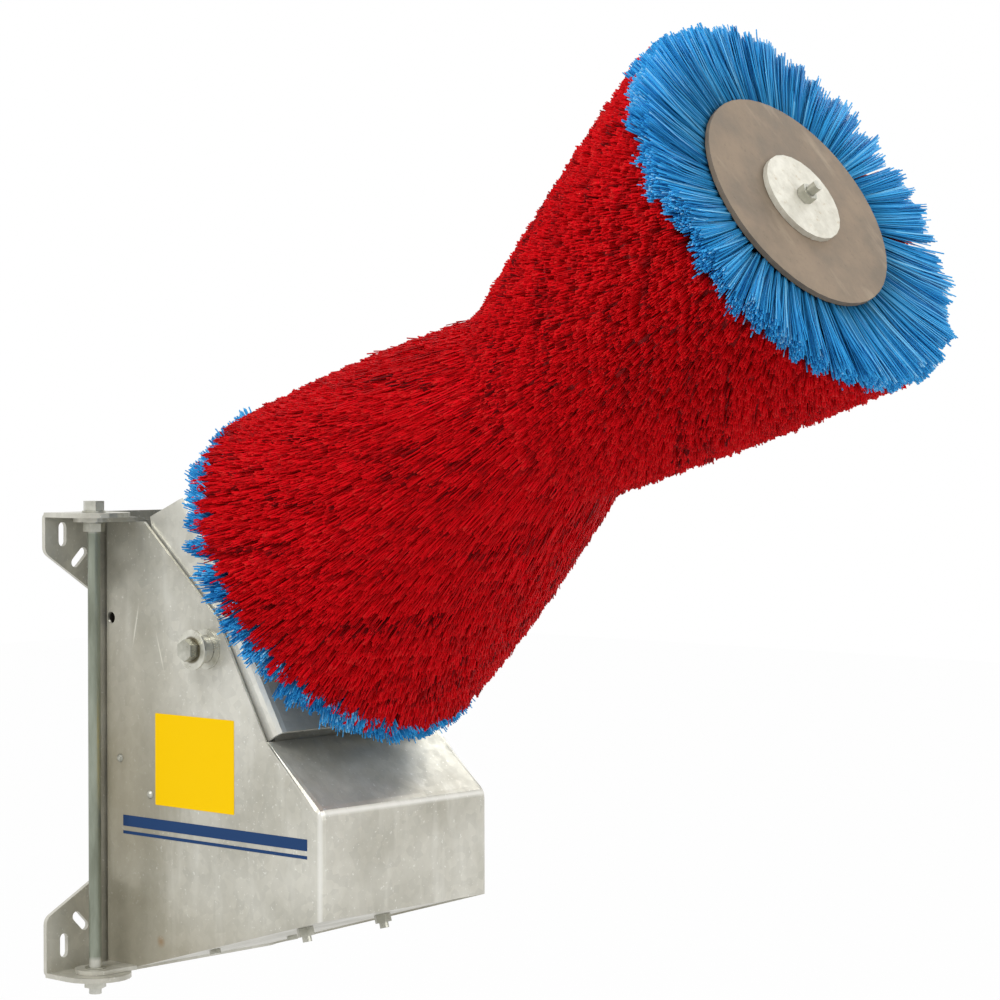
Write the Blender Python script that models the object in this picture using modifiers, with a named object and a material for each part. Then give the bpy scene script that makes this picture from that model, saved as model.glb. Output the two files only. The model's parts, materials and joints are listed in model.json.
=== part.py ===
# Rotating cow brush on a wall bracket, in metres, with +Z up.
# The origin is the centre of the wall plate's back face, +X points away from the wall,
# and Y = 0 is the middle plane of the housing and of the brush.
import math

import bmesh
import bpy
from mathutils import Matrix, Vector

# Common sizes
GAP = 0.0003
OVERRUN = 0.02
WELD = 0.000001
SIDES = 24
BRUSH_SIDES = 48

# Wall bracket
PLATE_T = 0.006
PLATE_H = 0.589
EAR_REACH = 0.046
EAR_WAIST = 0.030
EAR_CORNER_R = 0.008
EAR_BEND_R = 0.014
TOP_EAR_EDGE = 0.051
TOP_EAR_FALL = 0.050
FOOT_EAR_EDGE = 0.075
FOOT_EAR_FALL = 0.041
SLOT_L = 0.031
SLOT_W = 0.0125
SLOT_INSET = 0.028
TOP_SLOT_DROP = 0.028
FOOT_SLOT_RISE = 0.038
SLANT_INSET = 0.055
TOP_SLANT_DROP = 0.058
FOOT_SLANT_RISE = 0.066
SLANT_ANGLE = math.radians(45)

# Hinge bolt
ROD_D = 0.016
ROD_STANDOFF = 0.040
HEAD_AF = 0.024
HEAD_H = 0.012
WASHER_D = 0.030
WASHER_T = 0.002
NUT_H = 0.010
JAM_NUT_H = 0.0105
ROD_TAIL = 0.008

# Hinge lugs and their bushes
LUG_T = 0.0055
LUG_R = 0.026
BUSH_WALL = 0.003
BUSH_COLLAR_D = 0.026
COLLAR_H = 0.0015

# Housing shell
SHELL_T = 0.004
FOLD_R = 0.010
HOUSING_W = 0.297
PANEL_TO_ROD = 0.047
BACK_GAP = 0.002
PANEL_DEPTH = 0.398
TOP_RUN = 0.079
PANEL_SHORTFALL = 0.004
FRONT_TOP_DROP = 0.341
FRONT_H = 0.131
SIDE_HOLE_D = 0.015
SIDE_HOLE_SETBACK = 0.015
SIDE_HOLE_DROP = 0.124

# Cradle pivot, measured from the housing's back edge, as a share of its depth, and from its top edge
PIVOT_SETBACK_SHARE = 0.495
PIVOT_DROP = 0.155
PIVOT_BOLT_D = 0.016
PIVOT_SPACER_D = 0.034
PIVOT_SPACER_L = 0.018
PIVOT_WASHER_D = 0.050
PIVOT_WASHER_T = 0.003
PIVOT_BUSH_WALL = 0.004
PIVOT_TAIL = 0.007
PIVOT_NUT_RIM_D = 0.034
PIVOT_NUT_RIM_T = 0.003

# Cradle, in its own frame: x along the brush axis and z square to it, from the pivot
BRUSH_LIFT = math.radians(31.1)
MOUTH_AHEAD = 0.036
MOUTH_ABOVE = 0.023
MOUTH_BELOW = 0.148
PAN_T = 0.004
PAN_FOLD_R = 0.012
PAN_AHEAD = 0.057
PAN_ABOVE = 0.186
PAN_BELOW = 0.146
SIDE_CLEARANCE = 0.003
CHEEK_PEAK_RISE = 0.011
CHEEK_TOP_BEHIND = 0.014
CHEEK_BEHIND = 0.034
CHEEK_FOOT_AHEAD = 0.010
CHEEK_UPPER_Z = 0.140
CHEEK_LOWER_Z = 0.050

# Tilt stop
STOP_BAR_T = 0.005
STOP_BAR_END_ROOM = 0.0165
STOP_BAR_UP = 0.020
STOP_TAB_UP = 0.044
STOP_TAB_W = 0.034
STOP_BAR_DOWN = 0.016
BUFFER_D = 0.028
BUFFER_INSET = 0.048
BUFFER_ABOVE = 0.024

# Gear unit and motor
AXIS_RISE = 0.0344
GEARBOX_R = 0.062
GEARBOX_T = 0.060
MOTOR_BELOW = 0.0884
MOTOR_R = 0.054
FIN_H = 0.006
FIN_COUNT = 20
FIN_SHARES = ((0, 0), (0.3, 1), (0.55, 1), (0.85, 0))
MOTOR_L = 0.130
COWL_L = 0.052
COWL_R = 0.061
COWL_EDGE = 0.010
TERMINAL_L = 0.070
TERMINAL_W = 0.060
TERMINAL_H = 0.028
TERMINAL_EDGE = 0.004
TERMINAL_SETBACK = 0.020
GEAR_BOLT_D = 0.008
GEAR_BOLT_AF = 0.013
GEAR_BOLT_HEAD = 0.0053
GEAR_BOLT_GRIP = 0.040
GEAR_BOLT_SPREAD = 0.060
SEAL_R = 0.046
SEAL_T = 0.010
SWITCH_L = 0.060
SWITCH_H = 0.036
SWITCH_T = 0.022
SWITCH_ABOVE = 0.060
SWITCH_EDGE = 0.003

# Brush, along its axis from the pivot's plane
SHAFT_D = 0.030
SHAFT_CLEARANCE = 0.0015
DRIVE_FLANGE_R = 0.070
DRIVE_FLANGE_T = 0.010
DRIVE_HUB_R = 0.027
BRUSH_START = 0.108
BRUSH_L = 0.8425
END_DISC_R = 0.133
END_DISC_T = 0.006
CORE_R = 0.055
CORE_WALL = 0.005
BLUE_L = 0.036
BRUSH_END_R = 0.235
WAIST_R = 0.129
WAIST_ROUND = 0.012
WAIST_SHARE = 0.495
HUB_PLATE_R = 0.0545
HUB_PLATE_T = 0.0065
STUD_D = 0.012
STUD_NUT_AF = 0.019
STUD_NUT_H = 0.010
STUD_TAIL = 0.012

# Bottom cover and its bolts, and the cable gland on the far panel
COVER_T = 0.003
COVER_SET = 0.002
COVER_GAP = 0.0005
RAIL_W = 0.030
RAIL_H = 0.010
RAIL_SHARES = (0.307, 0.725)
COVER_BOLT_SPREAD = 0.068
REAR_BOLT_D = 0.008
REAR_BOLT_AF = 0.013
REAR_BOLT_HEAD = 0.0053
REAR_BOLT_TAIL = 0
FRONT_BOLT_D = 0.012
FRONT_BOLT_AF = 0.019
FRONT_BOLT_HEAD = 0.0105
FRONT_BOLT_TAIL = 0.007
GLAND_D = 0.024
GLAND_L = 0.020
GLAND_NUT_AF = 0.027
GLAND_NUT_H = 0.007
GLAND_LIP = 0.0015
LOCK_NUT_AF = 0.032
GLAND_BORE_D = 0.011
GLAND_SETBACK = 0.060
GLAND_RISE = 0.085

# Control box on the inside of the left panel
CONTROL_L = 0.100
CONTROL_H = 0.110
CONTROL_MOTOR_ROOM = 0.0175
CONTROL_LID_T = 0.008
CONTROL_EDGE = 0.004
SCREW_D = 0.006
SCREW_HEAD_D = 0.011
SCREW_HEAD_H = 0.003
SCREW_CROWN_SHARES = ((0, 1), (0.5, 0.92), (0.85, 0.5))
SCREW_GRIP = 0.012
SCREW_ONE_SETBACK = 0.032
SCREW_ONE_DROP = 0.303
SCREW_TWO_SETBACK = 0.090
SCREW_TWO_DROP = 0.345

# Places that follow from the sizes
ROD_X = PLATE_T + ROD_STANDOFF
ROD_Y = -HOUSING_W / 2 - PANEL_TO_ROD
PLATE_HALF_W = -ROD_Y + EAR_REACH
FLANGE_UNDER_Z = PLATE_H / 2 - PLATE_T
TOP_LUG_Z = FLANGE_UNDER_Z - GAP - LUG_T / 2
FOOT_LUG_Z = -FLANGE_UNDER_Z + GAP + LUG_T / 2
PANEL_TOP_Z = TOP_LUG_Z - LUG_T / 2 - GAP
PANEL_DROP = PLATE_H - PANEL_SHORTFALL
PANEL_FOOT_Z = PANEL_TOP_Z - PANEL_DROP
BACK_X = PLATE_T + BACK_GAP
FRONT_X = BACK_X + PANEL_DEPTH
PIVOT_X = BACK_X + PANEL_DEPTH * PIVOT_SETBACK_SHARE
PIVOT_Z = PANEL_TOP_Z - PIVOT_DROP
PAN_BACK = PAN_AHEAD - PAN_T
CHEEK_OUT = HOUSING_W / 2 - SHELL_T - SIDE_CLEARANCE
CHEEK_IN = CHEEK_OUT - PAN_T
GEAR_FRONT = PAN_BACK - GAP
GEAR_BACK = GEAR_FRONT - GEARBOX_T
BRUSH_END = BRUSH_START + BRUSH_L
MOTOR_Z = AXIS_RISE - MOTOR_BELOW
STOP_BAR_W = HOUSING_W - 2 * (SHELL_T + STOP_BAR_END_ROOM)
BUFFER_SPREAD = STOP_BAR_W / 2 - BUFFER_INSET
CONTROL_W = HOUSING_W / 2 - SHELL_T - COWL_R - CONTROL_MOTOR_ROOM - CONTROL_LID_T

# Frames: the swing axis is the hinge bolt, the tilt axis is the cradle's pivot
SWING = Matrix.Translation((ROD_X, ROD_Y, 0))
TILT = Matrix.Translation((PIVOT_X, 0, PIVOT_Z)) @ Matrix.Rotation(-BRUSH_LIFT, 4, "Y")
SPIN = TILT @ Matrix.Translation((0, 0, AXIS_RISE))
WORLD = Matrix.Identity(4)

# Turns that lay a piece's own z axis along X, along -Y or along -Z
ALONG_X = Matrix(((0, 0, 1, 0), (1, 0, 0, 0), (0, 1, 0, 0), (0, 0, 0, 1)))
ALONG_MINUS_Y = Matrix.Rotation(math.pi / 2, 4, "X")
ALONG_PLUS_Y = Matrix.Rotation(-math.pi / 2, 4, "X")
ALONG_MINUS_Z = Matrix.Rotation(math.pi, 4, "X")

COLOURS = {
    "galvanised": ((0.60, 0.60, 0.57), 0.42, 0.9),
    "zinc": ((0.66, 0.66, 0.62), 0.32, 1.0),
    "cast": ((0.42, 0.44, 0.45), 0.55, 0.6),
    "motor_grey": ((0.20, 0.24, 0.27), 0.50, 0.1),
    "dark_plastic": ((0.06, 0.06, 0.07), 0.45, 0.0),
    "light_plastic": ((0.55, 0.56, 0.56), 0.45, 0.0),
    "rubber": ((0.03, 0.03, 0.03), 0.80, 0.0),
    "disc_board": ((0.34, 0.28, 0.22), 0.75, 0.0),
    "red_bristle": ((0.37, 0.007, 0.010), 0.55, 0.0),
    "blue_bristle": ((0.03, 0.25, 0.48), 0.50, 0.0),
}


def clear_scene():
    for obj in list(bpy.data.objects):
        bpy.data.objects.remove(obj, do_unlink=True)


def new_collection(name):
    made = bpy.data.collections.new(name)
    bpy.context.scene.collection.children.link(made)
    return made


clear_scene()
PARTS = new_collection("cow_brush")
CUTTERS = new_collection("cutters")


def material(key):
    if key in bpy.data.materials:
        return bpy.data.materials[key]
    colour, roughness, metallic = COLOURS[key]
    made = bpy.data.materials.new(key)
    made.use_nodes = True
    shader = made.node_tree.nodes["Principled BSDF"]
    shader.inputs["Base Color"].default_value = (*colour, 1)
    shader.inputs["Roughness"].default_value = roughness
    shader.inputs["Metallic"].default_value = metallic
    made.diffuse_color = (*colour, 1)
    return made


def axis_empty(name, parent, world):
    made = bpy.data.objects.new(name, None)
    PARTS.objects.link(made)
    made.empty_display_size = PLATE_H / 10
    attach(made, parent, world)
    return made


def attach(obj, parent, world):
    obj.parent = parent
    obj.matrix_parent_inverse = Matrix.Identity(4)
    base = parent["world"] if parent else None
    start = Matrix(base).inverted() if base else WORLD
    obj.matrix_local = start @ world
    if obj.type == "EMPTY":
        obj["world"] = [list(row) for row in world]


def add_object(name, data, finish, parent, world):
    obj = bpy.data.objects.new(name, data)
    PARTS.objects.link(obj)
    data.materials.append(material(finish))
    attach(obj, parent, world)
    return obj


def add_helper(name, data, parent, world):
    obj = bpy.data.objects.new(name, data)
    CUTTERS.objects.link(obj)
    attach(obj, parent, world)
    obj.hide_render = True
    obj.display_type = "WIRE"
    return obj


# Outlines are lists of (u, v) points, anticlockwise


def circle(u, v, radius, count=SIDES):
    turns = [2 * math.pi * k / count for k in range(count)]
    return [(u + radius * math.cos(a), v + radius * math.sin(a)) for a in turns]


def hexagon(u, v, across_flats):
    return circle(u, v, across_flats / math.sqrt(3), 6)


def rectangle(u0, v0, u1, v1):
    return [(u0, v0), (u1, v0), (u1, v1), (u0, v1)]


def long_slot(u, v, length, width, angle, count=6):
    half = (length - width) / 2
    radius = width / 2
    points = []
    for side, turn in ((1, 0), (-1, math.pi)):
        for k in range(count + 1):
            a = math.pi * (k / count - 0.5) + turn
            points.append((side * half + radius * math.cos(a), radius * math.sin(a)))
    c, s = math.cos(angle), math.sin(angle)
    return [(u + c * p - s * q, v + s * p + c * q) for p, q in points]


def filleted(corners, steps=4):
    """Corners (u, v, radius) with each radius turned into an arc."""
    points = []
    for k, (u, v, radius) in enumerate(corners):
        here = Vector((u, v))
        before = Vector(corners[k - 1][:2]) - here
        after = Vector(corners[(k + 1) % len(corners)][:2]) - here
        if radius <= 0:
            points.append((u, v))
            continue
        before.normalize()
        after.normalize()
        half = before.angle(after) / 2
        reach = radius / math.tan(half)
        centre = here + (before + after).normalized() * (radius / math.sin(half))
        start = here + before * reach - centre
        end = here + after * reach - centre
        sweep = start.angle_signed(end)
        for j in range(steps + 1):
            turn = Matrix.Rotation(-sweep * j / steps, 2)
            points.append(tuple(centre + turn @ start))
    return points


def flat_curve(name, loops, thickness):
    """A sheet of this thickness, centred on its own xy plane, with every later loop a hole."""
    curve = bpy.data.curves.new(name, "CURVE")
    curve.dimensions = "2D"
    curve.fill_mode = "BOTH"
    curve.extrude = thickness / 2
    for points in loops:
        spline = curve.splines.new("POLY")
        spline.points.add(len(points) - 1)
        for point, (u, v) in zip(spline.points, points):
            point.co = (u, v, 0, 1)
        spline.use_cyclic_u = True
    return curve


def flat_piece(name, loops, thickness, finish, parent, world):
    return add_object(name, flat_curve(name, loops, thickness), finish, parent, world)


def baked_flat(name, loops, thickness):
    """The mesh of a flat piece, with its caps welded, for pieces that are cut, joined or bevelled."""
    holder = bpy.data.objects.new(name, flat_curve(name, loops, thickness))
    PARTS.objects.link(holder)
    graph = bpy.context.evaluated_depsgraph_get()
    mesh = bpy.data.meshes.new_from_object(holder.evaluated_get(graph))
    curve = holder.data
    bpy.data.objects.remove(holder)
    bpy.data.curves.remove(curve)
    bm = bmesh.new()
    bm.from_mesh(mesh)
    bmesh.ops.remove_doubles(bm, verts=bm.verts, dist=WELD)
    bmesh.ops.recalc_face_normals(bm, faces=bm.faces)
    bm.to_mesh(mesh)
    bm.free()
    mesh.materials.clear()
    return mesh


def block_mesh(name, low, high):
    bm = bmesh.new()
    bmesh.ops.create_cube(bm, size=1)
    sizes = [b - a for a, b in zip(low, high)]
    middle = [(a + b) / 2 for a, b in zip(low, high)]
    bmesh.ops.scale(bm, vec=sizes, verts=bm.verts)
    bmesh.ops.translate(bm, vec=middle, verts=bm.verts)
    mesh = bpy.data.meshes.new(name)
    bm.to_mesh(mesh)
    bm.free()
    return mesh


def rod_mesh(name, radius, z0, z1, count=SIDES):
    bm = bmesh.new()
    bmesh.ops.create_cone(
        bm, cap_ends=True, segments=count, radius1=radius, radius2=radius, depth=z1 - z0
    )
    bmesh.ops.translate(bm, vec=(0, 0, (z0 + z1) / 2), verts=bm.verts)
    mesh = bpy.data.meshes.new(name)
    bm.to_mesh(mesh)
    bm.free()
    return mesh


def boolean(obj, other, operation):
    made = obj.modifiers.new(other.name, "BOOLEAN")
    made.operation = operation
    made.solver = "EXACT"
    made.use_self = operation == "UNION"
    made.object = other


def round_edges(obj, width, segments=2, angle=30):
    made = obj.modifiers.new("round_edges", "BEVEL")
    made.width = width
    made.segments = segments
    made.limit_method = "ANGLE"
    made.angle_limit = math.radians(angle)


def turned(name, profile, finish, parent, world, count=SIDES, closed=False):
    """A profile of (radius, height) points, running down its outer side, turned about its own z."""
    mesh = bpy.data.meshes.new(name)
    edges = [(k, k + 1) for k in range(len(profile) - 1)]
    if closed:
        edges.append((len(profile) - 1, 0))
    mesh.from_pydata([(r, 0, h) for r, h in profile], edges, [])
    obj = add_object(name, mesh, finish, parent, world)
    screw = obj.modifiers.new("turn", "SCREW")
    screw.steps = count
    screw.render_steps = count
    screw.use_merge_vertices = True
    screw.merge_threshold = WELD
    screw.use_smooth_shade = True
    return obj


def ring_profile(inner, outer, z0, z1):
    return [(inner, z1), (outer, z1), (outer, z0), (inner, z0)]


def washer(name, inner_d, outer_d, thickness, finish, parent, world):
    """A washer that rises from its own z = 0."""
    loops = [circle(0, 0, outer_d / 2), circle(0, 0, inner_d / 2 + GAP)]
    lift = Matrix.Translation((0, 0, thickness / 2))
    return flat_piece(name, loops, thickness, finish, parent, world @ lift)


def nut(name, bore_d, across_flats, height, finish, parent, world):
    """A nut that rises from its own z = 0."""
    loops = [hexagon(0, 0, across_flats), circle(0, 0, bore_d / 2 + GAP)]
    lift = Matrix.Translation((0, 0, height / 2))
    return flat_piece(name, loops, height, finish, parent, world @ lift)


def flange_nut(name, bore_d, across_flats, height, finish, parent, world):
    """A nut that rises from its own z = 0 and ends in a round flange."""
    loops = [hexagon(0, 0, across_flats), circle(0, 0, bore_d / 2 + GAP)]
    lift = world @ Matrix.Translation((0, 0, height / 2))
    made = add_object(name, baked_flat(name, loops, height), finish, parent, lift)
    rim = [circle(0, 0, PIVOT_NUT_RIM_D / 2), circle(0, 0, bore_d / 2 + GAP)]
    rim_mesh = baked_flat(name + "_rim", rim, PIVOT_NUT_RIM_T)
    rim_place = world @ Matrix.Translation((0, 0, height - PIVOT_NUT_RIM_T / 2))
    boolean(made, add_helper(name + "_rim", rim_mesh, parent, rim_place), "UNION")
    return made


def bolt(name, across_flats, head_h, shank_d, shank_l, finish, parent, world, count=SIDES, tail=None):
    """A hex bolt whose head rises from its own z = 0, with its shank below and any tail above."""
    head_mesh = rod_mesh(name, across_flats / math.sqrt(3), 0, head_h, 6)
    head = add_object(name, head_mesh, finish, parent, world)
    shank_top = head_h + tail if tail else head_h / 2
    shank_mesh = rod_mesh(name + "_shank", shank_d / 2, -shank_l, shank_top, count)
    boolean(head, add_helper(name + "_shank", shank_mesh, parent, world), "UNION")
    return head


def folded_shell(name, outline, open_edges, width, thickness, fold_r, finish, parent, world):
    """Sheet bent round an outline in the xz plane: two cheeks, and a wall on every edge that isn't open."""
    bm = bmesh.new()
    near = [bm.verts.new((x, -width / 2, z)) for x, z in outline]
    edges = [bm.edges.new((a, b)) for a, b in zip(near, near[1:] + near[:1])]
    cheek = bmesh.ops.contextual_create(bm, geom=edges)["faces"]
    spread = bmesh.ops.extrude_face_region(bm, geom=cheek, use_keep_orig=True)
    moved = [item for item in spread["geom"] if isinstance(item, bmesh.types.BMVert)]
    bmesh.ops.translate(bm, vec=(0, width, 0), verts=moved)
    bmesh.ops.recalc_face_normals(bm, faces=bm.faces)
    doomed = []
    for k in open_edges:
        (x0, z0), (x1, z1) = outline[k], outline[(k + 1) % len(outline)]
        middle = Vector(((x0 + x1) / 2, 0, (z0 + z1) / 2))
        doomed.append(min(bm.faces, key=lambda face: (face.calc_center_median() - middle).length))
    bmesh.ops.delete(bm, geom=doomed, context="FACES")
    mesh = bpy.data.meshes.new(name)
    bm.to_mesh(mesh)
    bm.free()
    obj = add_object(name, mesh, finish, parent, world)
    round_edges(obj, fold_r, 3)
    skin = obj.modifiers.new("sheet", "SOLIDIFY")
    skin.thickness = thickness
    skin.offset = -1
    skin.use_even_offset = True
    skin.use_quality_normals = True
    return obj


def cross_hole(obj, name, diameter, parent, world, y0, y1):
    """Cuts a round hole along Y between y0 and y1, at this frame's origin."""
    cutter = rod_mesh(name, diameter / 2, y0, y1)
    boolean(obj, add_helper(name, cutter, parent, world @ ALONG_PLUS_Y), "DIFFERENCE")


# The wall bracket and the hinge bolt


def ear_outline(side):
    """The corners down one side of the wall plate, from the top, for side -1 or 1."""
    half = PLATE_HALF_W
    top, foot = PLATE_H / 2, -PLATE_H / 2
    waist = half - EAR_REACH - EAR_WAIST
    return [
        (side * half, top, EAR_CORNER_R),
        (side * half, top - TOP_EAR_EDGE, EAR_BEND_R),
        (side * waist, top - TOP_EAR_EDGE - TOP_EAR_FALL, 0),
        (side * waist, foot + FOOT_EAR_EDGE + FOOT_EAR_FALL, 0),
        (side * half, foot + FOOT_EAR_EDGE, EAR_BEND_R),
        (side * half, foot, EAR_CORNER_R),
    ]


def ear_slots(side):
    top, foot = PLATE_H / 2, -PLATE_H / 2
    upright = side * (PLATE_HALF_W - SLOT_INSET)
    slanted = side * (PLATE_HALF_W - SLANT_INSET)
    quarter = math.pi / 2
    return [
        long_slot(upright, top - TOP_SLOT_DROP, SLOT_L, SLOT_W, quarter),
        long_slot(slanted, top - TOP_SLANT_DROP, SLOT_L, SLOT_W, -side * SLANT_ANGLE),
        long_slot(upright, foot + FOOT_SLOT_RISE, SLOT_L, SLOT_W, quarter),
        long_slot(slanted, foot + FOOT_SLANT_RISE, SLOT_L, SLOT_W, side * SLANT_ANGLE),
    ]


def nose_outline(centre_x, centre_y, radius, back_x, count=12):
    """A tongue with a round nose about a point, running back to x = back_x."""
    turns = [math.pi * (k / count - 0.5) for k in range(count + 1)]
    nose = [(centre_x + radius * math.cos(a), centre_y + radius * math.sin(a)) for a in turns]
    return [(back_x, centre_y - radius)] + nose + [(back_x, centre_y + radius)]


def make_bracket():
    plate = filleted(ear_outline(-1) + ear_outline(1)[::-1])
    loops = [plate] + ear_slots(-1) + ear_slots(1)
    lift = Matrix.Translation((PLATE_T / 2, 0, 0))
    mesh = baked_flat("wall_bracket", loops, PLATE_T)
    bracket = add_object("wall_bracket", mesh, "galvanised", None, lift @ ALONG_X)
    bore = circle(ROD_X, ROD_Y, ROD_D / 2 + GAP)
    tongue = [nose_outline(ROD_X, ROD_Y, EAR_REACH - GAP, PLATE_T / 2), bore]
    for end, side in (("top", 1), ("foot", -1)):
        height = side * (PLATE_H / 2 - PLATE_T / 2)
        mesh = baked_flat("tongue_" + end, tongue, PLATE_T)
        place = Matrix.Translation((0, 0, height))
        boolean(bracket, add_helper("tongue_" + end, mesh, None, place), "UNION")


def make_hinge():
    top = PLATE_H / 2 + GAP
    top_place = Matrix.Translation((ROD_X, ROD_Y, top))
    washer("hinge_washer_top", ROD_D, WASHER_D, WASHER_T, "zinc", None, top_place)
    foot = -PLATE_H / 2 - GAP
    foot_place = Matrix.Translation((ROD_X, ROD_Y, foot)) @ ALONG_MINUS_Z
    washer("hinge_washer_foot", ROD_D, WASHER_D, WASHER_T, "zinc", None, foot_place)
    nut_z = foot - WASHER_T - GAP
    nut_place = Matrix.Translation((ROD_X, ROD_Y, nut_z)) @ ALONG_MINUS_Z
    nut("hinge_nut", ROD_D, HEAD_AF, NUT_H, "zinc", None, nut_place)
    head_z = top + WASHER_T + GAP
    shank = head_z - nut_z + NUT_H + ROD_TAIL
    head_place = Matrix.Translation((ROD_X, ROD_Y, head_z))
    bolt("hinge_bolt", HEAD_AF, HEAD_H, ROD_D, shank, "zinc", None, head_place)
    jam_z = TOP_LUG_Z - LUG_T / 2 - COLLAR_H - GAP - JAM_NUT_H
    jam_place = Matrix.Translation((ROD_X, ROD_Y, jam_z))
    nut("hinge_jam_nut", ROD_D, HEAD_AF, JAM_NUT_H, "zinc", None, jam_place)


def make_lugs(swing):
    """The housing's two lugs and the bushes that turn on the hinge bolt."""
    bush_r = ROD_D / 2 + GAP + BUSH_WALL
    bore = circle(ROD_X, ROD_Y, bush_r + GAP)
    ends = (
        ("top", TOP_LUG_Z, -HOUSING_W / 2 + SHELL_T, -1),
        ("foot", FOOT_LUG_Z, -HOUSING_W / 2 - GAP, 1),
    )
    for end, z, y_end, side in ends:
        nose = nose_outline(-ROD_Y, ROD_X, LUG_R, -y_end)
        outline = [(y, -x) for x, y in nose]
        place = Matrix.Translation((0, 0, z))
        flat_piece("hinge_lug_" + end, [outline, bore], LUG_T, "galvanised", swing, place)
        inner = ROD_D / 2 + GAP
        profile = [
            (inner, COLLAR_H),
            (BUSH_COLLAR_D / 2, COLLAR_H),
            (BUSH_COLLAR_D / 2, GAP),
            (bush_r, GAP),
            (bush_r, -LUG_T),
            (inner, -LUG_T),
        ]
        face = Matrix.Translation((ROD_X, ROD_Y, z + side * LUG_T / 2))
        turn = face if side > 0 else face @ ALONG_MINUS_Z
        turned("hinge_bush_" + end, profile, "zinc", swing, turn, closed=True)


# The housing


def mouth_point(x, z):
    """A point of the cradle's rest frame, as world (x, z)."""
    world = TILT @ Vector((x, 0, z))
    return world.x, world.z


def housing_outline():
    return [
        (BACK_X, PANEL_FOOT_Z),
        (FRONT_X, PANEL_TOP_Z - FRONT_TOP_DROP - FRONT_H),
        (FRONT_X, PANEL_TOP_Z - FRONT_TOP_DROP),
        mouth_point(MOUTH_AHEAD, -MOUTH_BELOW),
        mouth_point(MOUTH_AHEAD, MOUTH_ABOVE),
        (BACK_X + TOP_RUN, PANEL_TOP_Z),
        (BACK_X, PANEL_TOP_Z),
    ]


def make_housing(swing):
    open_edges = (0, 3, 4, 5)
    size = (HOUSING_W, SHELL_T, FOLD_R)
    shell = folded_shell("housing_shell", housing_outline(), open_edges, *size, "galvanised", swing, WORLD)
    half = HOUSING_W / 2 + OVERRUN
    left = (-half, -HOUSING_W / 2 + OVERRUN)
    pivot = Matrix.Translation((PIVOT_X, 0, PIVOT_Z))
    cross_hole(shell, "pivot_hole_cutter", PIVOT_BOLT_D + 2 * GAP, swing, pivot, -half, half)
    for name, diameter, setback, drop in (
        ("side_hole_cutter", SIDE_HOLE_D, SIDE_HOLE_SETBACK, SIDE_HOLE_DROP),
        ("screw_one_cutter", SCREW_D + 2 * GAP, SCREW_ONE_SETBACK, SCREW_ONE_DROP),
        ("screw_two_cutter", SCREW_D + 2 * GAP, SCREW_TWO_SETBACK, SCREW_TWO_DROP),
    ):
        place = Matrix.Translation((BACK_X + setback, 0, PANEL_TOP_Z - drop))
        cross_hole(shell, name, diameter, swing, place, *left)
    gland = Matrix.Translation((BACK_X + GLAND_SETBACK, 0, PANEL_FOOT_Z + GLAND_RISE))
    cross_hole(shell, "gland_cutter", GLAND_D + 2 * GAP, swing, gland, half - 2 * OVERRUN, half)


def make_bottom(swing):
    """The cover under the housing and the rails that it is bolted to."""
    rise = PANEL_DROP - FRONT_TOP_DROP - FRONT_H
    slope = math.atan2(rise, PANEL_DEPTH)
    frame = Matrix.Translation((BACK_X, 0, PANEL_FOOT_Z)) @ Matrix.Rotation(-slope, 4, "Y")
    full = PANEL_DEPTH / math.cos(slope)
    lean = (COVER_SET + COVER_T) * math.tan(slope)
    margin = (SHELL_T + COVER_GAP) / math.cos(slope)
    half = HOUSING_W / 2 - SHELL_T - COVER_GAP
    start, end = margin + lean, full - margin
    rails = [full * share for share in RAIL_SHARES]
    loops = [filleted([(x, y, FOLD_R) for x, y in rectangle(start, -half, end, half)])]
    sizes = (
        ("rear", REAR_BOLT_D, REAR_BOLT_AF, REAR_BOLT_HEAD, REAR_BOLT_TAIL),
        ("front", FRONT_BOLT_D, FRONT_BOLT_AF, FRONT_BOLT_HEAD, FRONT_BOLT_TAIL),
    )
    holes = {}
    for x, (name, bolt_d, *_) in zip(rails, sizes):
        holes[name] = [circle(x, side * COVER_BOLT_SPREAD, bolt_d / 2 + GAP) for side in (-1, 1)]
        loops += holes[name]
    lift = Matrix.Translation((0, 0, COVER_SET + COVER_T / 2))
    flat_piece("bottom_cover", loops, COVER_T, "galvanised", swing, frame @ lift)
    rail_z = COVER_SET + COVER_T + GAP
    rail_half = HOUSING_W / 2 - SHELL_T - GAP
    for x, (name, bolt_d, bolt_af, head_h, tail) in zip(rails, sizes):
        outline = rectangle(x - RAIL_W / 2, -rail_half, x + RAIL_W / 2, rail_half)
        place = frame @ Matrix.Translation((0, 0, rail_z + RAIL_H / 2))
        flat_piece("cover_rail_" + name, [outline] + holes[name], RAIL_H, "galvanised", swing, place)
        for label, side in (("left", -1), ("right", 1)):
            seat = Matrix.Translation((x, side * COVER_BOLT_SPREAD, COVER_SET - GAP))
            turn = frame @ seat @ ALONG_MINUS_Z
            title, grip = f"cover_bolt_{name}_{label}", COVER_T + RAIL_H
            bolt(title, bolt_af, head_h, bolt_d, grip, "zinc", swing, turn, count=12, tail=tail)


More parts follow.
